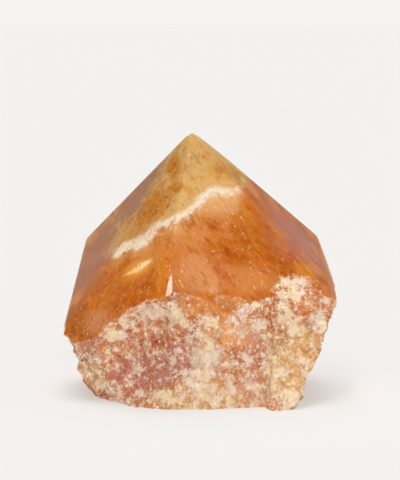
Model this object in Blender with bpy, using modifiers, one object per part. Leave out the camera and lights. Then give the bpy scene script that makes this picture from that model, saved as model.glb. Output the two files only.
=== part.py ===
"""Raw honey onyx: one broken lump of orange calcite on a sawn base, its top ground and polished to a point.

Metres, +Z up. The origin is at the middle of the base, and -Y is the front, where two large polished faces meet.
The broken lump is two round blanks pushed out to the planes and shells along which the stone came apart. The
ground point is a block cut by the planes of the polished faces. What the two have in common is the stone.
"""

import math

import bmesh
import bpy
from mathutils import Vector, noise

MM = 0.001

# The tip of the point, in the frame that the planes below are given in.
TIP = Vector((-2.8, 0.0, 87.8)) * MM

# Polished faces: azimuth of the normal (0 is the front, 90 the right), slope of the face from level,
# and how far its plane passes outside the tip.
POLISHED_FACES = {
    "front_left": (-50.6, 59.4, 0.0),
    "front_right": (18.1, 57.6, 0.0),
    "front_edge": (-34.9, 57.7, 1.44 * MM),
    "left": (-67.7, 56.9, 0.0),
    "right": (68.0, 46.8, 0.0),
    "right_outer": (76.0, 47.1, 1.0 * MM),
    "right_side": (85.9, 67.8, 24.1 * MM),
    "left_side": (-93.0, 80.6, 30.9 * MM),
    "back_left": (-125.0, 41.7, 0.0),
    "back": (170.0, 50.0, 0.0),
    "back_right": (120.0, 37.5, 0.0),
}
POLISHED_EDGE = 0.7 * MM  # width of the rounding that the polishing wheel leaves on each edge
POLISHED_EDGE_STEPS = 2
POLISHED_EDGE_FROM = math.radians(4.0)  # two faces that meet flatter than this have no edge to round
UNCUT_BLOCK = 300.0 * MM  # width of the block before grinding
CUT_MERGE = 1e-7  # points nearer than this to a cut lie on it

# Broken blocks: the point that each grew from, the planes it broke along (azimuth of the normal, its lift above
# level, distance from the block's middle) and the dishes that flakes left in it (centre, radius).
MAIN_BLOCK = {
    "blank_detail": 6,
    "middle": Vector((0.0, 0.0, 35.0)) * MM,
    "reach": 78.0 * MM,
    "planes": {
        "front": (-5.0, -3.0, 37.5 * MM),
        "front_right": (12.0, 3.0, 32.8 * MM),
        "front_left": (-40.0, -3.0, 40.5 * MM),
        "left_under": (-88.0, -25.0, 46.7 * MM),
        "left_foot": (-65.0, -40.0, 49.5 * MM),
        "right_front": (50.0, -5.0, 44.5 * MM),
        "right_under": (88.0, -22.0, 42.5 * MM),
        "back_left": (-140.0, 4.0, 42.0 * MM),
        "back": (172.0, -6.0, 38.0 * MM),
        "back_under": (-160.0, -38.0, 43.0 * MM),
        "back_right": (132.0, -8.0, 45.0 * MM),
    },
    "dishes": (
        (Vector((-26.0, -49.0, 17.5)) * MM, 25.5 * MM),
        (Vector((-5.5, -43.0, 18.0)) * MM, 11.5 * MM),
        (Vector((-54.0, -6.0, 8.0)) * MM, 14.5 * MM),
    ),
}
RIGHT_BLOCK = {
    "blank_detail": 5,
    "middle": Vector((31.0, -18.0, 17.0)) * MM,
    "reach": 40.0 * MM,
    "planes": {
        "front": (9.0, 22.0, 10.6 * MM),
        "left": (-82.0, 7.0, 9.6 * MM),
        "right_front": (50.0, -5.0, 23.3 * MM),
        "right_under": (88.0, -22.0, 7.0 * MM),
        "right_foot": (60.0, -45.0, 17.4 * MM),
        "back": (180.0, 0.0, 20.0 * MM),
    },
    "dishes": (),
}
BLOCK_EDGE = 1.0 * MM  # how softly two broken planes meet
LEAST_FACING = 0.05  # a plane that faces a ray less than this doesn't stop it
TRIANGLES_KEPT = 0.75  # share of the finished stone's triangles, fewest where a face is flat

HONEY_ORANGE = (0.62, 0.23, 0.045, 1.0)
POLISH_ROUGHNESS = 0.25

# Chips: the relief of a broken face, as flat flakes of two sizes. Spacing of the flakes and depth of the relief.
CHIP_SIZES = ((11.0 * MM, 1.5 * MM), (4.5 * MM, 0.7 * MM))
GRAIN_SPACING = 2.6 * MM
GRAIN_DEPTH = 0.35 * MM
# Where in the random field the tilt and the level of the flakes are read.
TILT_FIELD_SCALE = 7.3
LEVEL_FIELD_SCALE = 5.1
LEVEL_FIELD_SHIFT = Vector((3.0, 1.0, 2.0))


def direction(azimuth, lift):
    """Unit vector at an azimuth from the front (-Y) towards the right (+X), lifted above level, in degrees."""
    a, e = math.radians(azimuth), math.radians(lift)
    return Vector((math.sin(a) * math.cos(e), -math.cos(a) * math.cos(e), math.sin(e)))


def chip_relief(point, spacing, depth):
    """Height of the flat flake that a point lies on: each flake has its own level and its own tilt."""
    _, centres = noise.voronoi(point / spacing)
    centre = centres[0]
    tilt = noise.cell_vector(centre * TILT_FIELD_SCALE)
    level = noise.cell(centre * LEVEL_FIELD_SCALE + LEVEL_FIELD_SHIFT)
    return depth * (0.5 * level + (point / spacing - centre).dot(tilt))


def broken_relief(point):
    """How far the broken surface stands out at a point, from the chips down to the grain."""
    relief = sum(chip_relief(point, spacing, depth) for spacing, depth in CHIP_SIZES)
    return relief + GRAIN_DEPTH * noise.noise(point / GRAIN_SPACING)


def broken_distance(ray, middle, reach, planes, dishes):
    """Distance from a block's middle to its broken surface along a ray, before the chips."""
    reaches = [distance / normal.dot(ray) for normal, distance in planes if normal.dot(ray) > LEAST_FACING]
    reaches.append(reach)
    nearest = min(reaches)
    meeting = sum(math.exp(-(stop - nearest) / BLOCK_EDGE) for stop in reaches)
    surface = nearest - BLOCK_EDGE * math.log(meeting)
    for centre, radius in dishes:
        along = (centre - middle).dot(ray)
        gap = radius * radius - ((centre - middle).length_squared - along * along)
        if gap > 0.0 and along > 0.0:
            surface = min(surface, along - math.sqrt(gap))
    return surface


def broken_block(name, block):
    """One block as it broke: a round blank moved out to the block's planes and dishes, then chipped."""
    middle = block["middle"]
    planes = [(direction(azimuth, lift), distance) for azimuth, lift, distance in block["planes"].values()]
    mesh = bpy.data.meshes.new(name)
    shape = bmesh.new()
    bmesh.ops.create_icosphere(shape, subdivisions=block["blank_detail"], radius=1.0)
    for vertex in shape.verts:
        ray = vertex.co.normalized()
        point = middle + ray * broken_distance(ray, middle, block["reach"], planes, block["dishes"])
        vertex.co = point + ray * broken_relief(point)
    shape.to_mesh(mesh)
    shape.free()
    return bpy.data.objects.new(name, mesh)


def ground_point():
    """The block that the grinding wheel leaves: flat polished faces that meet at the tip, and the sawn base."""
    mesh = bpy.data.meshes.new("ground_point")
    shape = bmesh.new()
    bmesh.ops.create_cube(shape, size=UNCUT_BLOCK)
    cuts = [
        (TIP + outside * direction(azimuth, 90.0 - slope), direction(azimuth, 90.0 - slope))
        for azimuth, slope, outside in POLISHED_FACES.values()
    ]
    cuts.append((Vector((0.0, 0.0, 0.0)), Vector((0.0, 0.0, -1.0))))
    for point, normal in cuts:
        bmesh.ops.bisect_plane(
            shape,
            geom=shape.verts[:] + shape.edges[:] + shape.faces[:],
            plane_co=point,
            plane_no=normal,
            clear_outer=True,
            dist=CUT_MERGE,
        )
        bmesh.ops.holes_fill(shape, edges=[edge for edge in shape.edges if edge.is_boundary])
    bmesh.ops.recalc_face_normals(shape, faces=shape.faces)
    shape.to_mesh(mesh)
    shape.free()
    block = bpy.data.objects.new("ground_point", mesh)
    rounding = block.modifiers.new("polished_edges", "BEVEL")
    rounding.width = POLISHED_EDGE
    rounding.segments = POLISHED_EDGE_STEPS
    rounding.limit_method = "ANGLE"
    rounding.angle_limit = POLISHED_EDGE_FROM
    return block


def honey_onyx():
    """Orange calcite with a polish."""
    material = bpy.data.materials.new("honey_onyx")
    material.use_nodes = True
    surface = material.node_tree.nodes["Principled BSDF"]
    surface.inputs["Base Color"].default_value = HONEY_ORANGE
    surface.inputs["Roughness"].default_value = POLISH_ROUGHNESS
    surface.inputs["Metallic"].default_value = 0.0
    return material


def combine(stone, cutter, operation):
    """Adds a Boolean step to the stone, with a hidden cutter."""
    step = stone.modifiers.new(cutter.name, "BOOLEAN")
    step.operation = operation
    step.object = cutter
    cutter.parent = stone
    cutter.hide_render = True
    cutter.display_type = "WIRE"


def centre_on_base(stone):
    """Puts the middle of the stone's box over the origin, with its base at height 0."""
    bpy.context.view_layer.update()
    evaluated = stone.evaluated_get(bpy.context.evaluated_depsgraph_get())
    corners = [Vector(corner) for corner in evaluated.bound_box]
    low = Vector(map(min, *corners))
    high = Vector(map(max, *corners))
    stone.location = (-(low.x + high.x) / 2, -(low.y + high.y) / 2, -low.z)


def main():
    for old in list(bpy.data.objects):
        bpy.data.objects.remove(old)
    parts = bpy.data.collections.new("raw_honey_onyx")
    cutters = bpy.data.collections.new("cutters")
    bpy.context.scene.collection.children.link(parts)
    bpy.context.scene.collection.children.link(cutters)

    stone = broken_block("stone", MAIN_BLOCK)
    stone.data.materials.append(honey_onyx())
    parts.objects.link(stone)
    right_block = broken_block("right_block", RIGHT_BLOCK)
    cutters.objects.link(right_block)
    block = ground_point()
    cutters.objects.link(block)

    combine(stone, right_block, "UNION")
    combine(stone, block, "INTERSECT")
    thinning = stone.modifiers.new("thinning", "DECIMATE")
    thinning.ratio = TRIANGLES_KEPT
    centre_on_base(stone)


main()
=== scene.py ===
"""Raw honey onyx: a lump of banded orange calcite with a polished point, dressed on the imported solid."""

import math

import bmesh
import bpy
import numpy as np
from bpy.props import FloatProperty, FloatVectorProperty, IntProperty, PointerProperty
from bpy.types import Operator, Panel, PropertyGroup
from mathutils import Matrix, Vector, kdtree, noise


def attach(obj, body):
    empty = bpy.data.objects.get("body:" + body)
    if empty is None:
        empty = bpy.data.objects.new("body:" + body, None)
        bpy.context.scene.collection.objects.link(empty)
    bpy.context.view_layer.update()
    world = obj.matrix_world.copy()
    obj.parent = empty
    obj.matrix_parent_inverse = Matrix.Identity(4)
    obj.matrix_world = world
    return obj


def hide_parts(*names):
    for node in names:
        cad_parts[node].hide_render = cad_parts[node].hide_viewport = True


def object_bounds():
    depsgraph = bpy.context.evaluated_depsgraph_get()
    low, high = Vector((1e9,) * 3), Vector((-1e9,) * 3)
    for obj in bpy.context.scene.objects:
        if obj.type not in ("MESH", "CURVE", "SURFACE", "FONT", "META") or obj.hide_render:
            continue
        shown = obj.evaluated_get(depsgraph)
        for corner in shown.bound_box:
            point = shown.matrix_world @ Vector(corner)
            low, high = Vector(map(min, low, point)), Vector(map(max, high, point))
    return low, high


bl_info = {
    "name": "Raw Honey Onyx",
    "version": (1, 0, 0),
    "blender": (4, 5, 0),
    "location": "3D View > Sidebar > Honey Onyx",
    "description": "Builds a polished point of banded orange calcite on its broken base",
    "category": "Add Mesh",
}

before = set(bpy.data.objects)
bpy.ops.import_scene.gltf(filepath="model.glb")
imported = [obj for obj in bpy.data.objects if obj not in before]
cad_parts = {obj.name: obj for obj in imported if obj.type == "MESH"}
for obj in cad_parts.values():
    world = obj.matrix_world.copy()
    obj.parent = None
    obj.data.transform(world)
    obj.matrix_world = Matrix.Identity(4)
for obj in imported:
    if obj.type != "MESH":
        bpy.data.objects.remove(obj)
CAD_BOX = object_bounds()

MM = 0.001
WELD = 1e-7
CUT_PASSES = 10
RIM_STEP = 0.4 * MM
TIP_ZONE = 80.0 * MM
FLAT_ANGLE = math.radians(0.6)

POLISHED, BROKEN, SAWN, NEAR_RIM = 0, 1, 2, 3

# The narrow facet at the foot of the front edge: azimuth and lift of its normal, distance from the origin in mm.
GLINT_FACET = (-8.5, 33.4, 52.69)

# Where the polished faces have crumbled away: centre and half widths in mm, turn about Y in degrees.
CRUMBLED = (
    ("peak", (31.5, -24.5, 35.5), (6.6, 8.0, 6.4), 25.0),
    ("saddle", (24.5, -28.0, 32.0), (7.0, 8.0, 3.6), 0.0),
    ("spur", (17.5, -30.0, 32.0), (3.4, 5.0, 1.8), -30.0),
)


def direction(azimuth, lift):
    """Unit vector at an azimuth from the front (-Y) towards the right (+X), lifted above level, in degrees."""
    a, e = math.radians(azimuth), math.radians(lift)
    return Vector((math.sin(a) * math.cos(e), -math.cos(a) * math.cos(e), math.sin(e)))


def linear(hex_colour):
    """An sRGB hex colour as linear red, green, blue and alpha."""
    parts = [int(hex_colour[i : i + 2], 16) / 255.0 for i in (1, 3, 5)]
    return tuple(p / 12.92 if p <= 0.04045 else ((p + 0.055) / 1.055) ** 2.4 for p in parts) + (1.0,)


def colour_property(name, description, hex_colour):
    """A colour setting with a default given in hex."""
    return FloatVectorProperty(
        name=name, description=description, subtype="COLOR", size=3, min=0.0, max=1.0, default=linear(hex_colour)[:3]
    )


# ---------------------------------------------------------------- settings


class BreakSettings(PropertyGroup):
    """Relief of the broken sides."""

    mesh_edge: FloatProperty(
        name="Mesh edge", description="Longest mesh edge on the broken sides", default=0.65 * MM, unit="LENGTH"
    )
    polished_mesh_edge: FloatProperty(
        name="Polished mesh edge", description="Mesh squares on polished faces", default=5.0 * MM, unit="LENGTH"
    )
    rim_reach: FloatProperty(
        name="Rim reach", description="How far the break eats into a polished face", default=2.2 * MM, unit="LENGTH"
    )
    rim_fade: FloatProperty(
        name="Rim fade", description="Distance from a polished face over which the relief grows", default=0.9 * MM, unit="LENGTH"
    )
    chip_size: FloatProperty(name="Chip size", description="Width of one cleaved chip", default=3.4 * MM, unit="LENGTH")
    chip_height: FloatProperty(name="Chip height", description="Relief of the chips", default=0.5 * MM, unit="LENGTH")
    grain_size: FloatProperty(name="Grain size", description="Width of one sugary grain", default=1.1 * MM, unit="LENGTH")
    grain_height: FloatProperty(name="Grain height", description="Relief of the grains", default=0.16 * MM, unit="LENGTH")
    seed: IntProperty(name="Seed", description="Changes where chips and grains fall", default=7)


class GrainSettings(PropertyGroup):
    """Small calcite rhombs that stand on the broken sides."""

    density: FloatProperty(name="Density", description="Grains on each square metre", default=150000.0)
    smallest: FloatProperty(name="Smallest", description="Width of the smallest grain", default=0.3 * MM, unit="LENGTH")
    largest: FloatProperty(name="Largest", description="Width of the largest grain", default=0.75 * MM, unit="LENGTH")
    seed: IntProperty(name="Seed", description="Changes where the grains stand", default=3)


class ColourSettings(PropertyGroup):
    """Colours of the stone."""

    honey: colour_property("Honey", "Clear golden calcite above the white vein", "#d7a257")
    honey_dark: colour_property("Dark honey", "Ochre clouds above the vein", "#bd7d2b")
    honey_pale: colour_property("Pale honey", "Tan haze near the tip", "#d9b878")
    orange: colour_property("Orange", "Calcite below the vein", "#cc7326")
    orange_deep: colour_property("Deep orange", "Clear dark depths below the vein", "#b45a08")
    salmon: colour_property("Salmon", "Milky clouds below the vein", "#de9a63")
    vein: colour_property("Vein", "The white vein", "#f6e7ce")
    fleck: colour_property("Fleck", "Small bright cleavage cracks", "#f6d9b4")
    frost: colour_property("Frost", "Crushed grains of the broken sides", "#f8e6cc")
    rosy: colour_property("Rosy", "Deep red parts of the broken sides", "#b2563f")


class StageSettings(PropertyGroup):
    """Camera, light and floor."""

    camera_distance: FloatProperty(
        name="Camera distance", description="From the camera to the middle of the stone", default=0.70, unit="LENGTH"
    )
    camera_elevation: FloatProperty(
        name="Camera elevation", description="Height of the camera above level", default=math.radians(6.0), subtype="ANGLE"
    )
    frame_height: FloatProperty(
        name="Frame height", description="Height of the picture at the stone", default=0.1608, unit="LENGTH"
    )
    floor: colour_property("Floor", "Pale paper", "#e9e7e6")
    floor_reach: FloatProperty(name="Floor reach", description="Half width of the floor", default=60.0, unit="LENGTH")
    backdrop: colour_property("Backdrop", "Pale backdrop low all round", "#f5f3f1")
    room: colour_property("Room", "Walls above the backdrop", "#82807d")
    ceiling: colour_property("Ceiling", "Dim upper part of the room in front", "#2e2d2c")
    key_strength: FloatProperty(name="Key", description="Strength of the small light at the front left", default=0.42)
    fill_strength: FloatProperty(name="Fill", description="Strength of each wide low light in front", default=0.7)
    top_strength: FloatProperty(name="Top", description="Strength of the wide light overhead", default=1.55)
    low_strength: FloatProperty(name="Low right", description="Strength of the low light at the right", default=0.35)
    back_strength: FloatProperty(name="Back", description="Strength of the wide light behind", default=0.7)


# ---------------------------------------------------------------- nodes


def add(tree, kind, settings=None, links=None):
    """Adds one node: its settings by name, and each input by name or number, as a value or as another node's output."""
    node = tree.nodes.new(kind)
    for name, value in (settings or {}).items():
        setattr(node, name, value)
    for name, value in (links or {}).items():
        socket = node.inputs[name]
        if isinstance(value, bpy.types.NodeSocket):
            tree.links.new(value, socket)
        else:
            socket.default_value = value
    return node


def math_node(tree, operation, a, b=0.0, c=0.0, clamp=False):
    """The output of one sum on numbers."""
    return add(tree, "ShaderNodeMath", {"operation": operation, "use_clamp": clamp}, {0: a, 1: b, 2: c}).outputs[0]


def ramp(tree, value, low, high, out_low=0.0, out_high=1.0):
    """value from low to high, eased into out_low to out_high."""
    return add(
        tree,
        "ShaderNodeMapRange",
        {"interpolation_type": "SMOOTHSTEP", "clamp": False},
        {"Value": value, "From Min": low, "From Max": high, "To Min": out_low, "To Max": out_high},
    ).outputs["Result"]


def mix(tree, share, a, b, blend="MIX"):
    """Colour a with share of colour b over it."""
    return add(
        tree, "ShaderNodeMix", {"data_type": "RGBA", "blend_type": blend}, {0: share, 6: a, 7: b}
    ).outputs[2]


def lumps(tree, vector, size_mm, detail=3.0, roughness=0.55, distortion=0.0):
    """Smooth noise whose lumps are size_mm across. vector is in millimetres."""
    return add(
        tree,
        "ShaderNodeTexNoise",
        {},
        {"Vector": vector, "Scale": 1.0 / size_mm, "Detail": detail, "Roughness": roughness, "Distortion": distortion},
    ).outputs["Fac"]


# The stone grew in layers. Across them: the normal of the layers, and the height of the white vein along it, in mm.
LAYER_NORMAL = Vector((-0.492, 0.002, 0.871))
VEIN_HEIGHT = 55.72
LAYER_TILT = math.atan2(0.492, 0.871)

# Clouds of colour inside the stone: centre and half widths in mm, turn about Y in degrees, colour, share. Some are
# painted light: painted reflection and shade on the side faces, a partly painted reflection low on the front, and a
# painted glow in a crack.
INNER_CLOUDS = (
    ("tan_tip", (0.0, -6.0, 79.0), (8.0, 9.0, 9.0), 0.0, "#d3ac6b", 0.6),
    ("amber_right_top", (7.5, -8.0, 76.0), (3.4, 10.0, 5.0), -35.0, "#c98a3c", 0.6),
    ("ochre_left_top", (-16.5, -9.0, 62.0), (8.0, 11.0, 10.5), 40.0, "#bd7418", 0.9),
    ("ochre_left_low", (-24.5, -14.0, 54.0), (7.5, 11.0, 6.0), 0.0, "#bd8242", 0.8),
    ("grey_green_streak", (-5.0, -7.0, 77.0), (2.8, 10.0, 8.0), 12.0, "#cfa66a", 0.75),
    # Painted reflection and painted shade: the mauve on the steep upper left face stands in for the pale room it
    # reflects over less lit stone.
    ("painted_reflection_left_top", (-23.0, 4.0, 67.0), (9.5, 13.0, 20.0), 42.0, "#a6765a", 0.97),
    ("honey_right_top", (6.0, -11.0, 71.0), (8.0, 12.0, 5.0), 0.0, "#e0b06c", 0.7),
    ("orange_under_vein", (11.0, -13.0, 62.0), (11.0, 16.2, 5.0), 30.0, "#cf7c2c", 0.75),
    ("milk_under_vein", (8.0, -14.0, 64.5), (7.0, 12.0, 4.2), -30.0, "#e3b17c", 0.8),
    ("deep_right", (27.5, -18.0, 46.0), (8.5, 16.2, 8.0), 40.0, "#b95e06", 0.92),
    ("golden_right_low", (34.0, -19.5, 42.5), (4.6, 9.0, 3.2), 45.0, "#d3882a", 0.8),
    ("deep_right_top", (21.0, -16.0, 54.5), (7.0, 14.4, 7.0), 40.0, "#bc6810", 0.8),
    ("salmon_middle", (-3.5, -27.0, 51.0), (6.0, 10.8, 7.0), 0.0, "#da8f4e", 0.75),
    # Partly the stone's milky salmon tone and partly a painted reflection: the peach low on the front right stands in
    # for the broad reflection of the light there, fading to the right.
    ("salmon_painted_sheen_low", (0.0, -31.0, 42.5), (12.0, 12.6, 6.0), 0.0, "#df9d68", 0.75),
    ("salmon_painted_sheen_low_right", (16.0, -28.0, 40.5), (11.0, 12.6, 5.5), 0.0, "#d98d50", 0.75),
    ("red_streak", (6.0, -29.0, 43.5), (2.2, 10.8, 5.0), -35.0, "#c8602c", 0.7),
    ("orange_band", (7.0, -33.0, 35.8), (14.0, 9.0, 2.4), 0.0, "#cb6d24", 0.75),
    ("gold_band", (-12.6, -28.0, 45.5), (3.4, 16.0, 14.0), 3.0, "#d8852c", 0.92),
    ("deep_left", (-20.5, -29.0, 36.0), (7.5, 14.4, 8.5), 20.0, "#c05e00", 0.95),
    ("deep_left_top", (-18.5, -19.0, 49.5), (6.0, 10.8, 3.4), -30.0, "#d8842c", 0.8),
    ("left_middle", (-30.0, -17.5, 36.0), (6.0, 12.6, 9.0), 35.0, "#c57029", 0.7),
    ("ochre_corner", (-41.0, -15.5, 24.5), (6.0, 12.6, 6.0), 0.0, "#ad6014", 0.85),
    ("pink_cloud", (-33.5, -21.5, 26.5), (7.0, 10.8, 4.5), 0.0, "#cf8f63", 0.7),
    # A crack inside the front left face with a painted glow: the light it catches inside is painted as golden and
    # near-white streaks, with a painted glint.
    ("crack_painted_glow", (-20.6, -21.8, 43.8), (8.4, 10.0, 3.2), -32.0, "#dd8722", 0.85),
    ("crack_painted_glow_veil", (-20.6, -21.8, 43.9), (7.2, 10.0, 2.2), -32.0, "#f0a440", 0.85),
    ("crack_painted_glow_core", (-19.6, -21.8, 44.5), (4.6, 9.0, 1.0), -35.0, "#ffe0a0", 0.95),
    ("crack_painted_glow_streak", (-23.0, -21.8, 42.3), (3.6, 9.0, 0.5), -30.0, "#ffd488", 0.85),
    ("crack_painted_glow_glint", (-17.6, -21.8, 46.0), (2.4, 9.0, 0.42), -30.0, "#fff0cc", 0.9),
    ("dark_speck", (-21.2, -21.8, 44.3), (0.3, 4.0, 0.3), 0.0, "#7a4a18", 0.8),
    ("dark_speck_right", (-20.0, -21.8, 44.8), (0.24, 4.0, 0.24), 0.0, "#7a4a18", 0.8),
    # Painted reflection and painted shade: the mauve on the steep left and right side faces stands in for the pale room
    # they reflect over less lit stone.
    ("painted_reflection_left", (-38.0, 4.0, 47.0), (14.0, 18.0, 24.0), 8.0, "#b0775a", 0.97),
    ("painted_reflection_right", (31.0, -4.0, 52.0), (16.0, 16.0, 22.0), 35.0, "#bb735f", 0.8),
)

# The same for the broken sides. The dark red under the ledge is a painted shadow.
BROKEN_CLOUDS = (
    ("rosy_hollow", (-19.0, -29.0, 11.0), (17.0, 19.8, 10.0), -12.0, "#b86a52", 0.95),
    ("rosy_hollow_right", (-8.5, -32.0, 16.0), (6.5, 14.4, 7.0), -30.0, "#b8675c", 0.9),
    # Painted shadow: the dark red under the ledge stands in for the shade the ledge casts over the hollow.
    ("painted_shadow_ledge", (-12.0, -30.0, 22.0), (8.5, 14.4, 3.6), -12.0, "#b9562f", 0.9),
    ("orange_left", (-25.0, -26.0, 19.5), (6.0, 10.8, 3.4), 0.0, "#cc8458", 0.8),
    ("orange_ledge", (-9.0, -34.0, 26.0), (3.0, 10.8, 7.0), 40.0, "#d08a4c", 0.8),
    ("orange_middle", (9.0, -33.5, 25.0), (9.0, 12.6, 6.5), 0.0, "#e9a058", 0.95),
    ("orange_top", (4.0, -34.5, 33.0), (14.0, 10.8, 4.4), 0.0, "#e08a2e", 0.95),
    ("pink_right", (17.5, -32.5, 20.5), (5.0, 10.8, 5.5), 0.0, "#d08a66", 0.75),
    ("golden_block", (30.0, -33.0, 13.0), (10.0, 21.6, 15.0), 8.0, "#dcac6e", 0.95),
    ("golden_block_top", (34.5, -29.0, 21.5), (6.0, 14.4, 6.5), 0.0, "#dba258", 0.85),
    ("orange_spot", (33.5, -25.5, 34.0), (5.0, 9.0, 4.2), 0.0, "#d07434", 0.9),
    ("orange_spot_low", (36.5, -27.0, 28.5), (4.0, 9.0, 4.5), 0.0, "#cf8848", 0.8),
    ("tan_foot", (0.0, -37.0, 3.0), (19.0, 12.6, 4.6), 0.0, "#dca76a", 0.85),
    ("pink_middle", (5.5, -35.0, 14.5), (4.0, 10.8, 4.5), -30.0, "#d08a6c", 0.85),
    ("orange_low", (10.5, -34.0, 9.5), (2.6, 10.8, 6.0), -35.0, "#c9763c", 0.8),
    ("pale_ridge", (1.0, -35.5, 16.0), (4.8, 9.0, 7.0), -30.0, "#dfc2ab", 0.85),
    ("pink_low", (16.0, -33.0, 8.0), (4.5, 10.8, 7.0), 0.0, "#d8a084", 0.8),
    ("rosy_left", (-38.0, -20.0, 17.5), (9.0, 16.2, 5.5), 20.0, "#be7650", 0.85),
    ("tan_left", (-35.5, -22.0, 9.0), (5.0, 12.6, 5.0), 0.0, "#c59a68", 0.85),
)

# Polished side faces, where the gloss hides the fibres: normal, distance in mm, least roughness.
SIDE_FACES = (
    ("left", (-0.775, -0.3181, 0.5461), 51.055, 0.15),
    ("right", (0.6765, -0.2716, 0.6845), 58.421, 0.15),
    ("right_outer", (0.7116, -0.1756, 0.6803), 58.766, 0.15),
    ("right_side", (0.9235, -0.0662, 0.3778), 54.409, 0.6),
    ("left_side", (-0.9852, 0.0515, 0.1634), 48.336, 0.6),
)

# Where the break shows clear stone with little frost on it: centre and half widths in mm, turn about Y, how clear.
CLEAR_PATCHES = (
    ("under_rim", (4.5, -34.0, 34.0), (14.0, 12.6, 4.6), 0.0, 0.9),
    ("middle", (8.5, -33.5, 25.5), (7.5, 12.6, 5.5), 0.0, 0.35),
    # Under the ledge the frost is taken away, which keeps the painted shadow there dark.
    ("under_ledge", (-12.0, -30.0, 22.0), (8.0, 14.4, 3.4), -12.0, 0.7),
    ("under_peak", (34.0, -25.5, 33.5), (5.0, 10.8, 3.8), 0.0, 0.6),
    ("hollow", (-19.0, -29.0, 12.0), (13.0, 19.8, 7.0), -12.0, 0.1),
    ("left_band", (-37.5, -19.0, 20.0), (7.0, 16.2, 3.6), 25.0, 0.6),
)

# White crust of crushed grains: centre and half widths in mm, turn about Y in degrees, how thick it lies.
CRUSTS = (
    ("rim_left", (-26.5, -26.5, 24.5), (8.0, 8.0, 4.6), -45.0, 1.0),
    ("rim_middle", (-16.0, -31.0, 30.8), (10.5, 9.0, 4.2), -18.0, 1.0),
    ("rim_right", (-9.5, -35.5, 31.0), (5.0, 10.8, 4.0), 35.0, 0.9),
    ("ledge_spots", (-17.0, -29.5, 21.5), (3.0, 10.8, 2.2), 10.0, 0.2),
    ("ledge_spots_right", (-9.5, -31.5, 19.5), (3.2, 10.8, 4.0), 45.0, 0.25),
    ("yellow_patch", (1.5, -36.0, 26.0), (5.4, 9.0, 6.0), 20.0, 0.85),
    ("white_patch", (18.9, -31.0, 27.0), (4.0, 9.0, 2.6), -8.0, 1.0),
    ("spur", (14.5, -32.0, 31.5), (6.5, 10.8, 2.2), -35.0, 0.85),
    ("peak", (29.5, -24.5, 36.5), (7.0, 12.6, 5.0), 35.0, 1.0),
    ("peak_foot", (26.5, -27.5, 29.0), (4.5, 12.6, 6.5), 15.0, 0.95),
    ("right_shoulder", (38.0, -25.0, 27.0), (4.5, 14.4, 4.0), 35.0, 0.9),
    ("block_top", (30.0, -29.5, 25.0), (4.0, 10.8, 3.4), -20.0, 0.95),
    ("block_left", (22.5, -35.0, 12.0), (3.4, 14.4, 12.0), 8.0, 0.8),
    ("block_foot", (29.0, -36.0, 3.5), (7.0, 16.2, 3.6), 0.0, 0.85),
    ("ridge", (1.5, -35.5, 17.0), (4.6, 9.0, 7.0), -30.0, 0.85),
    ("ridge_foot", (-0.5, -36.5, 8.0), (7.5, 10.0, 6.0), 40.0, 0.9),
    ("foot_left", (-9.5, -36.0, 3.0), (10.5, 10.0, 3.6), 20.0, 0.85),
    ("foot_middle", (7.0, -35.0, 5.5), (8.0, 10.0, 4.6), 25.0, 0.85),
    ("column", (14.5, -33.5, 15.0), (2.6, 10.8, 5.0), 10.0, 0.8),
    ("left_foot", (-29.0, -24.0, 3.0), (9.0, 14.4, 3.2), 30.0, 0.6),
)


# Drifts of bright flecks on the front faces: centre and half widths in mm, turn about Y in degrees.
FLECK_DRIFTS = (
    ("under_vein", (4.5, -26.0, 47.5), (9.0, 6.0, 3.4), -25.0),
    ("near_tip", (8.0, -9.0, 73.0), (3.0, 5.0, 5.0), 0.0),
    ("right", (14.0, -20.0, 54.0), (5.0, 6.0, 4.0), -30.0),
)


def cloud_share(tree, position, centre, widths, turn, ragged):
    """How far a point is inside one cloud: 1 in its middle, 0 outside, with a ragged edge."""
    local = add(tree, "ShaderNodeVectorMath", {"operation": "SUBTRACT"}, {0: position, 1: centre}).outputs[0]
    if turn:
        turning = {"rotation_type": "Y_AXIS", "invert": True}
        local = add(tree, "ShaderNodeVectorRotate", turning, {"Vector": local, "Angle": math.radians(turn)}).outputs[0]
    local = add(tree, "ShaderNodeVectorMath", {"operation": "DIVIDE"}, {0: local, 1: widths}).outputs[0]
    away = add(tree, "ShaderNodeVectorMath", {"operation": "LENGTH"}, {0: local}).outputs["Value"]
    return ramp(tree, math_node(tree, "ADD", away, ragged), 1.25, 0.35)


def in_clouds(tree, colour, position, ragged, clouds):
    """Lays the clouds over a colour, one after the other."""
    for _, centre, widths, turn, hex_colour, share in clouds:
        inside = cloud_share(tree, position, centre, widths, turn, ragged)
        colour = mix(tree, math_node(tree, "MULTIPLY", inside, share), colour, linear(hex_colour))
    return colour


def patches_over(tree, position, ragged, patches):
    """How much of something lies at a point, from a list of patches of it."""
    most = 0.0
    for _, centre, widths, turn, amount in patches:
        inside = cloud_share(tree, position, centre, widths, turn, ragged)
        most = math_node(tree, "MAXIMUM", most, math_node(tree, "MULTIPLY", inside, amount))
    return most


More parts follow.
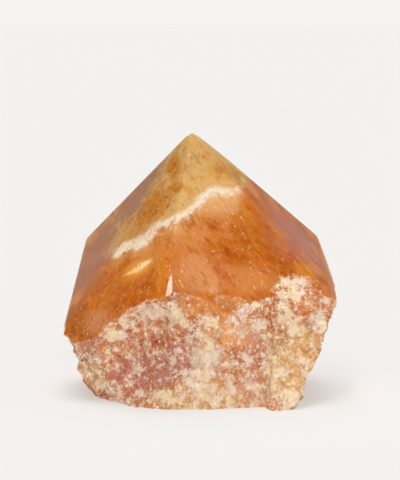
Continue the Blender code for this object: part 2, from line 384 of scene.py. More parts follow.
def stone_group():
    """The colour inside the stone as a node group: layers, clouds, fibres, vein and flecks, the same all through."""
    colours = bpy.context.scene.honey_onyx_colours
    tree = bpy.data.node_groups.new("banded_orange_calcite", "ShaderNodeTree")
    for name in ("Colour", "Clouded colour"):
        tree.interface.new_socket(name, in_out="OUTPUT", socket_type="NodeSocketColor")
    for name in ("Vein", "Flecks", "Ragged", "Fibres"):
        tree.interface.new_socket(name, in_out="OUTPUT", socket_type="NodeSocketFloat")
    tree.interface.new_socket("Position mm", in_out="OUTPUT", socket_type="NodeSocketVector")

    place = add(tree, "ShaderNodeTexCoord").outputs["Object"]
    p = add(tree, "ShaderNodeVectorMath", {"operation": "SCALE"}, {0: place, "Scale": 1.0 / MM}).outputs[0]
    height = add(tree, "ShaderNodeVectorMath", {"operation": "DOT_PRODUCT"}, {0: p, 1: LAYER_NORMAL}).outputs["Value"]

    # Fibres stand across the layers, 4 mm long and 0.8 mm wide.
    across = add(
        tree,
        "ShaderNodeMapping",
        {"vector_type": "TEXTURE"},
        {"Vector": p, "Rotation": (0.0, -LAYER_TILT, 0.0), "Scale": (1.0, 1.0, 5.0)},
    ).outputs[0]
    fibres = lumps(tree, across, 0.7, detail=3.0, roughness=0.65)
    brush = lumps(tree, across, 1.9, detail=4.0, roughness=0.7)
    wide = lumps(tree, p, 13.0, detail=3.0)
    cloudy = lumps(tree, p, 6.5, detail=4.0, roughness=0.6, distortion=0.6)
    feather = lumps(tree, p, 2.4, detail=5.0, roughness=0.68)

    along = add(tree, "ShaderNodeSeparateXYZ", {}, {0: p}).outputs[0]
    bend = math_node(tree, "SUBTRACT", ramp(tree, along, -5.0, 2.0, 0.0, 2.0), ramp(tree, along, 3.5, 11.5, 0.0, 3.8))
    above_vein = math_node(tree, "SUBTRACT", math_node(tree, "SUBTRACT", height, VEIN_HEIGHT), bend)
    warp = math_node(tree, "MULTIPLY_ADD", math_node(tree, "SUBTRACT", wide, 0.5), 6.0, above_vein)
    warp = math_node(tree, "MULTIPLY_ADD", math_node(tree, "SUBTRACT", feather, 0.5), 3.4, warp)
    warp = math_node(tree, "MULTIPLY_ADD", math_node(tree, "SUBTRACT", fibres, 0.5), 1.8, warp)

    # Above the vein: clear honey with ochre clouds. Below: orange with salmon milk and deep clear places.
    above = mix(tree, ramp(tree, cloudy, 0.42, 0.62), (*colours.honey_pale, 1.0), (*colours.honey, 1.0))
    above = mix(tree, ramp(tree, wide, 0.52, 0.66), above, (*colours.honey_dark, 1.0))
    below = mix(tree, ramp(tree, cloudy, 0.36, 0.62), (*colours.orange_deep, 1.0), (*colours.orange, 1.0))
    below = mix(tree, ramp(tree, wide, 0.48, 0.64, 0.0, 0.6), below, (*colours.salmon, 1.0))
    layered = mix(tree, ramp(tree, warp, -1.0, 1.6), below, above)

    ragged = math_node(tree, "MULTIPLY", math_node(tree, "SUBTRACT", cloudy, 0.5), 1.4)
    ragged = math_node(tree, "MULTIPLY_ADD", math_node(tree, "SUBTRACT", brush, 0.5), 1.1, ragged)
    clouded = in_clouds(tree, layered, p, ragged, INNER_CLOUDS)
    pale_fibres = mix(tree, 0.45, clouded, linear("#e1944c"))
    streaked = mix(tree, ramp(tree, brush, 0.5, 0.66, 0.0, 0.85), clouded, pale_fibres)
    streaked = mix(tree, ramp(tree, fibres, 0.5, 0.68, 0.0, 0.6), streaked, pale_fibres)
    dark_fibres = mix(tree, 1.0, clouded, linear("#dfa46a"), "MULTIPLY")
    streaked = mix(tree, ramp(tree, fibres, 0.5, 0.3, 0.0, 0.4), streaked, dark_fibres)
    streaked = mix(tree, ramp(tree, brush, 0.48, 0.34, 0.0, 0.6), streaked, dark_fibres)

    # The vein is a sheet of cream crystals 1 to 3 mm thick with feathery sides and a puffy lower edge.
    thick = math_node(tree, "MULTIPLY_ADD", cloudy, 3.0, -0.1)
    off = math_node(tree, "ABSOLUTE", warp)
    vein = ramp(tree, math_node(tree, "SUBTRACT", off, thick), 0.7, -0.9)
    broken_up = ramp(tree, feather, 0.36, 0.55, 0.4, 1.0)
    vein = math_node(tree, "MULTIPLY", vein, broken_up)
    across_x = math_node(tree, "MULTIPLY_ADD", ragged, 5.0, along)
    ends = math_node(tree, "MULTIPLY", ramp(tree, across_x, -35.0, -27.0, 0.12, 1.0), ramp(tree, across_x, 16.0, 9.5, 0.1, 1.0))
    vein = math_node(tree, "MULTIPLY", vein, ends)
    haze = ramp(tree, math_node(tree, "SUBTRACT", off, thick), 3.0, -0.5, 0.0, 0.4)
    coloured = mix(tree, math_node(tree, "MULTIPLY", haze, ends), streaked, linear("#e3b177"))
    milk = math_node(tree, "MULTIPLY", ramp(tree, warp, -8.0, -1.5, 0.0, 0.9), ramp(tree, warp, 1.0, -1.0))
    milk = math_node(tree, "MULTIPLY", milk, ramp(tree, cloudy, 0.4, 0.56))
    milky = math_node(tree, "MULTIPLY", ends, ramp(tree, along, -14.0, -3.0, 0.25, 1.0))
    coloured = mix(tree, math_node(tree, "MULTIPLY", milk, milky), coloured, linear("#e3ac70"))
    coloured = mix(tree, math_node(tree, "MULTIPLY", vein, 0.9), coloured, (*colours.vein, 1.0))

    # Flecks are cleavage cracks under a millimetre long that catch the light, in drifts.
    cells = add(tree, "ShaderNodeTexVoronoi", {"feature": "F1"}, {"Vector": across, "Scale": 1.0 / 0.65})
    own = add(tree, "ShaderNodeSeparateColor", {}, {0: cells.outputs["Color"]}).outputs
    pick = own[0]
    torn = math_node(tree, "MULTIPLY_ADD", fibres, 0.9, cells.outputs["Distance"])
    reach = math_node(tree, "MULTIPLY_ADD", own[1], 0.3, 0.55)
    small = ramp(tree, math_node(tree, "SUBTRACT", torn, reach), 0.16, -0.04)
    drift = ramp(tree, lumps(tree, p, 9.0, detail=2.0), 0.5, 0.64)
    drift = math_node(tree, "MAXIMUM", drift, fleck_drifts(tree, p, ragged))
    chance = math_node(tree, "GREATER_THAN", pick, math_node(tree, "MULTIPLY_ADD", drift, -0.26, 0.985))
    flecks = math_node(tree, "MULTIPLY", small, chance)
    coloured = mix(tree, math_node(tree, "MULTIPLY", flecks, math_node(tree, "MULTIPLY_ADD", own[2], 0.6, 0.1)), coloured, (*colours.fleck, 1.0))

    out = add(tree, "NodeGroupOutput")
    for name, value in (
        ("Colour", coloured),
        ("Clouded colour", clouded),
        ("Vein", vein),
        ("Flecks", flecks),
        ("Ragged", ragged),
        ("Fibres", fibres),
        ("Position mm", p),
    ):
        tree.links.new(value, out.inputs[name])
    return tree


def fleck_drifts(tree, position, ragged):
    """How thick the flecks lie, from the drifts that stand out on the front faces."""
    drift = 0.0
    for _, centre, widths, turn in FLECK_DRIFTS:
        inside = cloud_share(tree, position, centre, widths, turn, ragged)
        drift = math_node(tree, "MAXIMUM", drift, inside)
    return drift


def principled(name):
    """A new material's tree and its shader."""
    material = bpy.data.materials.new(name)
    material.use_nodes = True
    return material, material.node_tree, material.node_tree.nodes["Principled BSDF"]


def set_calcite(shader, milk):
    """What all faces of the stone share: calcite's refraction, and warm light that soaks a few millimetres in."""
    shader.inputs["IOR"].default_value = 1.5
    shader.inputs["Subsurface Weight"].default_value = milk
    shader.inputs["Subsurface Radius"].default_value = (1.0, 0.42, 0.14)
    shader.inputs["Subsurface Scale"].default_value = 4.0 * MM


def polished_calcite():
    """Orange calcite, ground and polished: wet-looking gloss over cloudy depth, with faint waves from the wheel."""
    colours = bpy.context.scene.honey_onyx_colours
    material, tree, shader = principled("polished_orange_calcite")
    stone = add(tree, "ShaderNodeGroup", {"node_tree": bpy.data.node_groups["banded_orange_calcite"]}).outputs
    p = stone["Position mm"]
    rim = add(tree, "ShaderNodeAttribute", {"attribute_name": "rim_mm"}).outputs["Fac"]

    # Bruised calcite whitens for a millimetre or two above the break.
    crumbs = lumps(tree, p, 1.1, detail=3.0, roughness=0.7)
    bruise = ramp(tree, math_node(tree, "MULTIPLY_ADD", crumbs, -3.5, math_node(tree, "ADD", rim, 1.6)), 0.5, -0.6)
    side = 0.0
    dull = 0.0
    for _, normal, distance, least in SIDE_FACES:
        depth = add(tree, "ShaderNodeVectorMath", {"operation": "DOT_PRODUCT"}, {0: p, 1: normal}).outputs["Value"]
        on_face = ramp(tree, depth, distance - 0.5, distance - 0.1)
        side = math_node(tree, "MAXIMUM", side, on_face)
        dull = math_node(tree, "MAXIMUM", dull, math_node(tree, "MULTIPLY", on_face, least))
    colour = mix(tree, math_node(tree, "MULTIPLY", side, 0.7), stone["Colour"], stone["Clouded colour"])
    colour = mix(tree, math_node(tree, "MULTIPLY", bruise, 0.4), colour, (*colours.frost, 1.0))
    tree.links.new(colour, shader.inputs["Base Color"])

    waves = lumps(tree, p, 11.0, detail=1.0)
    scuffs = lumps(tree, p, 2.2, detail=4.0, roughness=0.7)
    bump = add(
        tree,
        "ShaderNodeBump",
        {},
        {"Strength": 0.25, "Distance": 0.35 * MM, "Height": math_node(tree, "MULTIPLY_ADD", scuffs, 0.06, waves)},
    )
    tree.links.new(bump.outputs[0], shader.inputs["Normal"])
    rough = math_node(tree, "MAXIMUM", ramp(tree, scuffs, 0.4, 0.75, 0.13, 0.26), dull)
    tree.links.new(math_node(tree, "MAXIMUM", rough, math_node(tree, "MULTIPLY", bruise, 0.55)), shader.inputs["Roughness"])
    set_calcite(shader, 0.35)
    return material


def sugary_colour(tree, stone):
    """The colour of the break: clear sugary stone, and white crust where grains were crushed. Also the crust's share."""
    colours = bpy.context.scene.honey_onyx_colours
    p = stone["Position mm"]
    rim = add(tree, "ShaderNodeAttribute", {"attribute_name": "rim_mm"}).outputs["Fac"]
    clear = in_clouds(tree, stone["Clouded colour"], p, stone["Ragged"], BROKEN_CLOUDS)

    # Clear stone: frosted in specks from 2 mm down, the gaps between them deeper in colour, and short pale fibres.
    sugar = lumps(tree, p, 0.7, detail=4.0, roughness=0.7)
    specks = lumps(tree, p, 2.6, detail=6.0, roughness=0.72)
    bare = patches_over(tree, p, stone["Ragged"], CLEAR_PATCHES)
    frosted = math_node(tree, "SUBTRACT", 1.0, bare)
    deeper = mix(tree, 1.0, clear, linear("#e8a56c"), "MULTIPLY")
    clear = mix(tree, ramp(tree, specks, 0.44, 0.32, 0.0, 0.5), clear, deeper)
    clear = mix(tree, ramp(tree, sugar, 0.48, 0.32, 0.0, 0.35), clear, deeper)
    frost = math_node(tree, "MULTIPLY", ramp(tree, specks, 0.47, 0.62, 0.0, 0.8), frosted)
    clear = mix(tree, frost, clear, (*colours.frost, 1.0))
    frost = math_node(tree, "MULTIPLY", ramp(tree, sugar, 0.55, 0.68, 0.0, 0.5), math_node(tree, "MULTIPLY_ADD", frosted, 0.6, 0.4))
    clear = mix(tree, frost, clear, (*colours.frost, 1.0))
    clear = mix(tree, ramp(tree, stone["Fibres"], 0.54, 0.7, 0.0, 0.4), clear, (*colours.frost, 1.0))

    # Crust: lies in patches with a torn edge, and by chance all over and along the rim.
    torn = lumps(tree, p, 3.2, detail=7.0, roughness=0.72)
    by_chance = ramp(tree, lumps(tree, p, 7.0, detail=4.0, roughness=0.6), 0.5, 0.7, 0.0, 0.75)
    near_rim = ramp(tree, rim, -1.8, -0.2, 0.0, 0.1)
    by_chance = math_node(tree, "MULTIPLY", math_node(tree, "MAXIMUM", by_chance, near_rim), frosted)
    lying = math_node(tree, "MAXIMUM", patches_over(tree, p, stone["Ragged"], CRUSTS), by_chance)
    level = math_node(tree, "MULTIPLY_ADD", math_node(tree, "SUBTRACT", torn, 0.5), 4.8, lying)
    level = math_node(tree, "MULTIPLY_ADD", math_node(tree, "SUBTRACT", sugar, 0.5), 1.6, level)
    crust = ramp(tree, level, 0.3, 0.9)
    tint = mix(tree, ramp(tree, lumps(tree, p, 5.0, detail=2.0), 0.42, 0.6), linear("#fae2ba"), linear("#fae6d6"))
    tint = mix(tree, ramp(tree, lumps(tree, p, 1.7, detail=5.0, roughness=0.7), 0.56, 0.4, 0.0, 0.4), tint, linear("#dcae78"))
    tint = mix(tree, ramp(tree, specks, 0.5, 0.36, 0.0, 0.55), tint, mix(tree, 0.5, tint, clear))
    return mix(tree, math_node(tree, "MULTIPLY", crust, 0.92), clear, tint), crust, sugar


def broken_calcite():
    """Orange calcite as it broke: sugary cleavage grains, some glassy and deep, some crushed to white crust."""
    material, tree, shader = principled("broken_orange_calcite")
    stone = add(tree, "ShaderNodeGroup", {"node_tree": bpy.data.node_groups["banded_orange_calcite"]}).outputs
    p = stone["Position mm"]
    colour, crust, sugar = sugary_colour(tree, stone)

    # Single grains 0.8 mm wide: a few get a painted glint, a near-white spot in the base colour. Their roughness lets
    # each shine or stay dull by its turn to the light.
    cells = add(tree, "ShaderNodeTexVoronoi", {"feature": "F1"}, {"Vector": p, "Scale": 1.0 / 0.8})
    own = add(tree, "ShaderNodeSeparateColor", {}, {0: cells.outputs["Color"]}).outputs
    painted_glint = math_node(tree, "GREATER_THAN", own[2], 0.965)
    colour = mix(tree, math_node(tree, "MULTIPLY", painted_glint, 0.6), colour, linear("#fbf3e6"))
    tree.links.new(colour, shader.inputs["Base Color"])

    relief = math_node(tree, "MULTIPLY_ADD", cells.outputs["Distance"], 0.5, sugar)
    relief = math_node(tree, "MULTIPLY_ADD", crust, 0.9, relief)
    bump = add(tree, "ShaderNodeBump", {}, {"Strength": 0.45, "Distance": 0.35 * MM, "Height": relief})
    tree.links.new(bump.outputs[0], shader.inputs["Normal"])
    shine = ramp(tree, own[1], 0.0, 1.0, 0.55, 0.25)
    tree.links.new(math_node(tree, "MAXIMUM", shine, math_node(tree, "MULTIPLY", crust, 0.6)), shader.inputs["Roughness"])
    set_calcite(shader, 0.3)
    return material


def sawn_calcite():
    """Orange calcite, sawn: dull and even, with the fine parallel lines of the blade."""
    material, tree, shader = principled("sawn_orange_calcite")
    stone = add(tree, "ShaderNodeGroup", {"node_tree": bpy.data.node_groups["banded_orange_calcite"]}).outputs
    colour = mix(tree, 0.25, stone["Colour"], linear("#e6cdb0"))
    tree.links.new(colour, shader.inputs["Base Color"])
    # Blade lines are 1.2 mm apart, coarser than real ones so that they show.
    lines = add(
        tree,
        "ShaderNodeTexWave",
        {"wave_type": "BANDS", "bands_direction": "X"},
        {"Vector": stone["Position mm"], "Scale": 0.26, "Distortion": 0.6, "Detail": 2.0},
    ).outputs["Fac"]
    bump = add(tree, "ShaderNodeBump", {}, {"Strength": 0.3, "Distance": 0.1 * MM, "Height": lines})
    tree.links.new(bump.outputs[0], shader.inputs["Normal"])
    tree.links.new(ramp(tree, lines, 0.0, 1.0, 0.5, 0.62), shader.inputs["Roughness"])
    set_calcite(shader, 0.2)
    return material


def grain_calcite():
    """Loose rhombs of calcite on the break: pale, half clear, with flat shining sides."""
    colours = bpy.context.scene.honey_onyx_colours
    material, tree, shader = principled("calcite_grains")
    stone = add(tree, "ShaderNodeGroup", {"node_tree": bpy.data.node_groups["banded_orange_calcite"]}).outputs
    p = stone["Position mm"]
    colour, _, _ = sugary_colour(tree, stone)
    pale = ramp(tree, lumps(tree, p, 1.4, detail=2.0), 0.4, 0.64, 0.1, 0.7)
    colour = mix(tree, pale, colour, (*colours.frost, 1.0))
    tree.links.new(colour, shader.inputs["Base Color"])
    tree.links.new(ramp(tree, lumps(tree, p, 0.8), 0.4, 0.6, 0.15, 0.4), shader.inputs["Roughness"])
    set_calcite(shader, 0.3)
    return material


# ---------------------------------------------------------------- shape of the body


def polished_planes(shape):
    """The planes of the flat faces of the solid, largest first, as (normal, distance) in metres."""
    normals = np.array([face.normal for face in shape.faces])
    middles = np.array([face.calc_center_median() for face in shape.faces])
    areas = np.array([face.calc_area() for face in shape.faces])
    planes = []
    free = np.ones(len(areas), bool)
    for index in np.argsort(-areas):
        if not free[index] or areas[index] < 3.0 * MM * MM:
            continue
        distance = normals[index] @ middles[index]
        same = (normals @ normals[index] > 0.9995) & (np.abs(middles @ normals[index] - distance) < 0.04 * MM)
        if areas[same].sum() > 55.0 * MM * MM:
            planes.append((normals[index], distance))
            free &= ~same
    return planes


def face_kinds(shape, planes):
    """Whether each face is polished, broken or sawn. The rounding between two polished faces is polished too."""
    ground = [(n, d) for n, d in planes if n[2] > -0.9]
    normals = np.array([n for n, _ in ground])
    distances = np.array([d for _, d in ground])
    kinds = []
    for face in shape.faces:
        if face.calc_center_median().z > TIP_ZONE:
            kinds.append(POLISHED)
            continue
        if face.normal.z < -0.999 and face.calc_center_median().z < 0.02 * MM:
            kinds.append(SAWN)
            continue
        depths = distances - normals @ np.array(face.calc_center_median())
        order = np.argsort(depths)
        facing = normals @ np.array(face.normal)
        on_face = depths[order[0]] < 0.05 * MM and facing[order[0]] > 0.995
        on_edge = depths[order[0]] < 0.45 * MM and depths[order[1]] < 1.5 * MM
        on_edge = on_edge and facing[order[0]] > 0.6 and facing[order[1]] > 0.4
        kinds.append(POLISHED if on_face or on_edge else BROKEN)
    return kinds


def cut_edges(shape, chosen, limit):
    """Halves the edges that are longer than limit and chosen by what their faces are, until none is left."""
    kind_layer = shape.faces.layers.int["kind"]
    for _ in range(CUT_PASSES):
        long_edges = [
            edge
            for edge in shape.edges
            if edge.calc_length() > limit and chosen({face[kind_layer] for face in edge.link_faces})
        ]
        if not long_edges:
            return
        bmesh.ops.subdivide_edges(shape, edges=long_edges, cuts=1)
        bmesh.ops.triangulate(shape, faces=[face for face in shape.faces if len(face.verts) > 3])


def grind_front_edge(shape):
    """Cuts the narrow facet that the wheel left on the foot of the front edge."""
    normal = direction(*GLINT_FACET[:2])
    bmesh.ops.bisect_plane(
        shape,
        geom=shape.verts[:] + shape.edges[:] + shape.faces[:],
        plane_co=normal * GLINT_FACET[2] * MM,
        plane_no=normal,
        clear_outer=True,
        dist=WELD,
    )
    bmesh.ops.holes_fill(shape, edges=[edge for edge in shape.edges if edge.is_boundary])
    bmesh.ops.triangulate(shape, faces=[face for face in shape.faces if len(face.verts) > 3])


def slice_polished(shape, spacing):
    """Slices the polished faces into squares of about this size, along each axis."""
    kind_layer = shape.faces.layers.int["kind"]
    flat = [
        edge
        for edge in shape.edges
        if all(face[kind_layer] != BROKEN for face in edge.link_faces) and edge.calc_face_angle() < FLAT_ANGLE
    ]
    bmesh.ops.dissolve_edges(shape, edges=flat, use_verts=False)
    low, high = CAD_BOX
    for axis in range(3):
        normal = Vector(1.0 if i == axis else 0.0 for i in range(3))
        for step in range(1, int((high[axis] - low[axis]) / spacing)):
            level = low[axis] + spacing * step
            faces = [face for face in shape.faces if face[kind_layer] != BROKEN]
            near = {item for face in faces for item in (*face.verts, *face.edges)}
            bmesh.ops.bisect_plane(shape, geom=faces + list(near), plane_co=normal * level, plane_no=normal, dist=WELD)
    bmesh.ops.triangulate(shape, faces=[face for face in shape.faces if len(face.verts) > 3])


def rim_finder(shape):
    """A tree of points along the line where the polished faces meet the break."""
    kind_layer = shape.faces.layers.int["kind"]
    points = []
    for edge in shape.edges:
        if len({face[kind_layer] == BROKEN for face in edge.link_faces}) == 2:
            start, end = (vertex.co.copy() for vertex in edge.verts)
            steps = max(1, math.ceil(edge.calc_length() / RIM_STEP))
            points += [start.lerp(end, i / steps) for i in range(steps + 1)]
    tree = kdtree.KDTree(len(points))
    for index, point in enumerate(points):
        tree.insert(point, index)
    tree.balance()
    return tree


def in_patch(point, margin=0.0):
    """Whether a point is where the polished face has crumbled away. The edge of the patch is ragged."""
    for _, centre, widths, turn in CRUMBLED:
        local = Matrix.Rotation(-math.radians(turn), 3, "Y") @ (point / MM - Vector(centre))
        away = Vector(local[i] / widths[i] for i in range(3)).length
        if away + 0.45 * noise.noise(point / (3.1 * MM)) + 0.25 * noise.noise(point / (1.1 * MM)) < 1.0 + margin:
            return True
    return False


def crumble_rim(shape, settings):
    """Eats a ragged millimetre or two out of the polished faces along the break, and the crumbled patches."""
    kind_layer = shape.faces.layers.int["kind"]
    rim = rim_finder(shape)
    for face in shape.faces:
        if face[kind_layer] == POLISHED:
            middle = face.calc_center_median()
            if rim.find(middle)[2] < settings.rim_reach + settings.polished_mesh_edge / 2 or in_patch(middle, 0.7):
                face[kind_layer] = NEAR_RIM
    cut_edges(shape, lambda kinds: BROKEN in kinds or NEAR_RIM in kinds, settings.mesh_edge)
    for face in shape.faces:
        if face[kind_layer] == NEAR_RIM:
            middle = face.calc_center_median()
            bite = noise.noise(middle / (4.2 * MM)) * 0.9 + noise.noise(middle / (1.5 * MM)) * 0.6 - 0.1
            eaten = rim.find(middle)[2] < bite * settings.rim_reach or in_patch(middle)
            face[kind_layer] = BROKEN if eaten else POLISHED


def dense_stone(settings):
    """A welded copy of the solid, fine enough for grains, with what each face is and each point's way to the rim."""
    shape = bmesh.new()
    shape.from_mesh(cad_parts["stone"].data)
    bmesh.ops.remove_doubles(shape, verts=shape.verts, dist=WELD)
    planes = polished_planes(shape)
    grind_front_edge(shape)
    planes.append((np.array(direction(*GLINT_FACET[:2])), GLINT_FACET[2] * MM))
    kind_layer = shape.faces.layers.int.new("kind")
    for face, kind in zip(shape.faces, face_kinds(shape, planes)):
        face[kind_layer] = kind
    slice_polished(shape, settings.polished_mesh_edge)
    crumble_rim(shape, settings)

    rim = rim_finder(shape)
    rim_layer = shape.verts.layers.float.new("rim_mm")
    relief_layer = shape.verts.layers.float.new("relief")
    for vertex in shape.verts:
        around = {face[kind_layer] for face in vertex.link_faces}
        away = rim.find(vertex.co)[2]
        vertex[rim_layer] = (-away if POLISHED not in around else away) / MM
        if around == {BROKEN}:
            share = min(1.0, away / settings.rim_fade)
            vertex[relief_layer] = share * share * (3.0 - 2.0 * share)
    mesh = bpy.data.meshes.new("stone_body")
    shape.to_mesh(mesh)
    shape.free()
    return mesh


def geometry_tree(name, inputs):
    """A new Geometry Nodes tree with a geometry input and output and these named inputs."""
    tree = bpy.data.node_groups.new(name, "GeometryNodeTree")
    tree.interface.new_socket("Geometry", in_out="OUTPUT", socket_type="NodeSocketGeometry")
    tree.interface.new_socket("Geometry", in_out="INPUT", socket_type="NodeSocketGeometry")
    for label, kind in inputs:
        tree.interface.new_socket(label, in_out="INPUT", socket_type=kind)
    return tree, add(tree, "NodeGroupInput").outputs


def set_inputs(modifier, values):
    """Sets a Geometry Nodes modifier's inputs by name, through their identifiers."""
    for item in modifier.node_group.interface.items_tree:
        if item.item_type == "SOCKET" and item.in_out == "INPUT" and item.name in values:
            modifier[item.identifier] = values[item.name]


def cleaved_relief(tree, position, size, height, seed):
    """Height of flat grains: each cell of a Voronoi pattern has its own level and its own tilt."""
    cells = add(
        tree,
        "ShaderNodeTexVoronoi",
        {"voronoi_dimensions": "4D", "feature": "F1"},
        {"Vector": position, "W": seed, "Scale": math_node(tree, "DIVIDE", 1.0, size)},
    )
    to_centre = add(tree, "ShaderNodeVectorMath", {"operation": "SUBTRACT"}, {0: position, 1: cells.outputs["Position"]}).outputs[0]
    tilt = add(tree, "ShaderNodeVectorMath", {"operation": "SUBTRACT"}, {0: cells.outputs["Color"], 1: (0.5, 0.5, 0.5)}).outputs[0]
    slope = add(tree, "ShaderNodeVectorMath", {"operation": "DOT_PRODUCT"}, {0: to_centre, 1: tilt}).outputs["Value"]
    slope = math_node(tree, "DIVIDE", slope, size)
    level = add(tree, "ShaderNodeSeparateXYZ", {}, {0: tilt}).outputs[2]
    return math_node(tree, "MULTIPLY", math_node(tree, "MULTIPLY_ADD", slope, 1.6, math_node(tree, "MULTIPLY", level, 0.9)), height)


def relief_tree(materials):
    """Chips and sugary grains on the broken sides, and the right material on each kind of face."""
    sizes = ("Chip Size", "Chip Height", "Grain Size", "Grain Height", "Seed")
    tree, given = geometry_tree("sugary_break", [(label, "NodeSocketFloat") for label in sizes])
    position = add(tree, "GeometryNodeInputPosition").outputs[0]
    normal = add(tree, "GeometryNodeInputNormal").outputs[0]
    share = add(tree, "GeometryNodeInputNamedAttribute", {"data_type": "FLOAT"}, {"Name": "relief"}).outputs[0]
    chips = cleaved_relief(tree, position, given["Chip Size"], given["Chip Height"], given["Seed"])
    grains = cleaved_relief(tree, position, given["Grain Size"], given["Grain Height"], given["Seed"])
    sunk = math_node(tree, "MULTIPLY_ADD", given["Chip Height"], -0.35, math_node(tree, "ADD", chips, grains))
    lift = math_node(tree, "MULTIPLY", sunk, share)
    offset = add(tree, "ShaderNodeVectorMath", {"operation": "SCALE"}, {0: normal, "Scale": lift}).outputs[0]
    moved = add(tree, "GeometryNodeSetPosition", {}, {"Geometry": given["Geometry"], "Offset": offset}).outputs[0]
    at = add(tree, "GeometryNodeInputPosition").outputs[0]
    xyz = add(tree, "ShaderNodeSeparateXYZ", {}, {0: at}).outputs
    floor = math_node(tree, "MAXIMUM", xyz[2], 0.0)
    kept = add(tree, "ShaderNodeCombineXYZ", {}, {0: xyz[0], 1: xyz[1], 2: floor}).outputs[0]
    moved = add(tree, "GeometryNodeSetPosition", {}, {"Geometry": moved, "Position": kept}).outputs[0]
    kind = add(tree, "GeometryNodeInputNamedAttribute", {"data_type": "INT"}, {"Name": "kind"}).outputs[0]
    done = add(tree, "GeometryNodeRealizeInstances", {}, {"Geometry": moved}).outputs[0]
    for number, material in enumerate(materials):
        chosen = add(
            tree, "FunctionNodeCompare", {"data_type": "INT", "operation": "EQUAL"}, {2: kind, 3: number}
        ).outputs[0]
        done = add(
            tree, "GeometryNodeSetMaterial", {}, {"Geometry": done, "Selection": chosen, "Material": material}
        ).outputs[0]
    add(tree, "NodeGroupOutput", {}, {"Geometry": done})
    return tree


def grain_tree(material):
    """Calcite rhombs strewn over the broken sides in noisy drifts, thinning out towards the polished faces and kept off
    the foot.
    """
    sizes = ("Density", "Smallest", "Largest")
    tree, given = geometry_tree("loose_grains", [(label, "NodeSocketFloat") for label in sizes] + [("Seed", "NodeSocketInt")])
    position = add(tree, "GeometryNodeInputPosition").outputs[0]
    share = add(tree, "GeometryNodeInputNamedAttribute", {"data_type": "FLOAT"}, {"Name": "relief"}).outputs[0]
    drifts = add(tree, "ShaderNodeTexNoise", {}, {"Vector": position, "Scale": 1.0 / (5.0 * MM), "Detail": 3.0}).outputs["Fac"]
    drifts = ramp(tree, drifts, 0.42, 0.62, 0.12, 1.0)
    density = math_node(tree, "MULTIPLY", math_node(tree, "MULTIPLY", given["Density"], drifts), share)
    height = add(tree, "ShaderNodeSeparateXYZ", {}, {0: position}).outputs[2]
    density = math_node(tree, "MULTIPLY", density, math_node(tree, "GREATER_THAN", height, given["Largest"]))
    points = add(
        tree,
        "GeometryNodeDistributePointsOnFaces",
        {"distribute_method": "RANDOM"},
        {"Mesh": given["Geometry"], "Density": density, "Seed": given["Seed"]},
    )
    cube = add(tree, "GeometryNodeMeshCube", {}, {"Size": (1.0, 1.0, 1.0)}).outputs[0]
    at = add(tree, "ShaderNodeSeparateXYZ", {}, {0: add(tree, "GeometryNodeInputPosition").outputs[0]}).outputs
    leaned = add(
        tree,
        "ShaderNodeCombineXYZ",
        {},
        {
            0: math_node(tree, "MULTIPLY_ADD", at[2], 0.34, at[0]),
            1: math_node(tree, "MULTIPLY_ADD", at[0], 0.3, at[1]),
            2: at[2],
        },
    ).outputs[0]
    rhomb = add(tree, "GeometryNodeSetPosition", {}, {"Geometry": cube, "Position": leaned}).outputs[0]
    turn = add(
        tree, "FunctionNodeRandomValue", {"data_type": "FLOAT_VECTOR"}, {0: (0.0, 0.0, 0.0), 1: (6.28, 6.28, 6.28), "Seed": given["Seed"]}
    ).outputs[0]
    chance = add(tree, "FunctionNodeRandomValue", {"data_type": "FLOAT"}, {2: 0.0, 3: 1.0, "Seed": 11}).outputs[1]
    size = ramp(tree, math_node(tree, "POWER", chance, 2.2), 0.0, 1.0, 0.0, 1.0)
    size = math_node(tree, "MULTIPLY_ADD", size, math_node(tree, "SUBTRACT", given["Largest"], given["Smallest"]), given["Smallest"])
    sunk = add(tree, "ShaderNodeVectorMath", {"operation": "SCALE"}, {0: points.outputs["Normal"], "Scale": -0.1 * MM}).outputs[0]
    points = add(tree, "GeometryNodeSetPosition", {}, {"Geometry": points.outputs["Points"], "Offset": sunk}).outputs[0]
    strewn = add(
        tree, "GeometryNodeInstanceOnPoints", {}, {"Points": points, "Instance": rhomb, "Rotation": turn, "Scale": size}
    ).outputs[0]
    done = add(tree, "GeometryNodeRealizeInstances", {}, {"Geometry": strewn}).outputs[0]
    done = add(tree, "GeometryNodeSetMaterial", {}, {"Geometry": done, "Material": material}).outputs[0]
    add(tree, "NodeGroupOutput", {}, {"Geometry": done})
    return tree


def grown(name, mesh, tree, values):
    """A new object whose mesh is what a Geometry Nodes tree makes of another mesh, with nothing left live on it."""
    piece = bpy.data.objects.new(name, mesh)
    bpy.context.scene.collection.objects.link(piece)
    modifier = piece.modifiers.new(tree.name, "NODES")
    modifier.node_group = tree
    set_inputs(modifier, values)
    bpy.context.view_layer.update()
    evaluated = piece.evaluated_get(bpy.context.evaluated_depsgraph_get())
    result = bpy.data.meshes.new_from_object(evaluated)
    result.name = name
    piece.modifiers.remove(modifier)
    piece.data = result
    return piece


# ---------------------------------------------------------------- operators


class HONEY_ONYX_OT_body(Operator):
    """Make the stone's body from the solid, with a sugary break and banded colour"""

    bl_idname = "honey_onyx.body"
    bl_label = "Stone body"
    bl_options = {"REGISTER", "UNDO"}

    def execute(self, context):
        settings = context.scene.honey_onyx_break
        stone_group()
        tree = relief_tree((polished_calcite(), broken_calcite(), sawn_calcite()))
        values = {
            "Chip Size": settings.chip_size,
            "Chip Height": settings.chip_height,
            "Grain Size": settings.grain_size,
            "Grain Height": settings.grain_height,
            "Seed": float(settings.seed),
        }
        body = grown("stone_body", dense_stone(settings), tree, values)
        if len(body.data.polygons) < 1000:
            raise RuntimeError("the stone's body came out empty")
        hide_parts("stone")
        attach(body, "root")
        return {"FINISHED"}


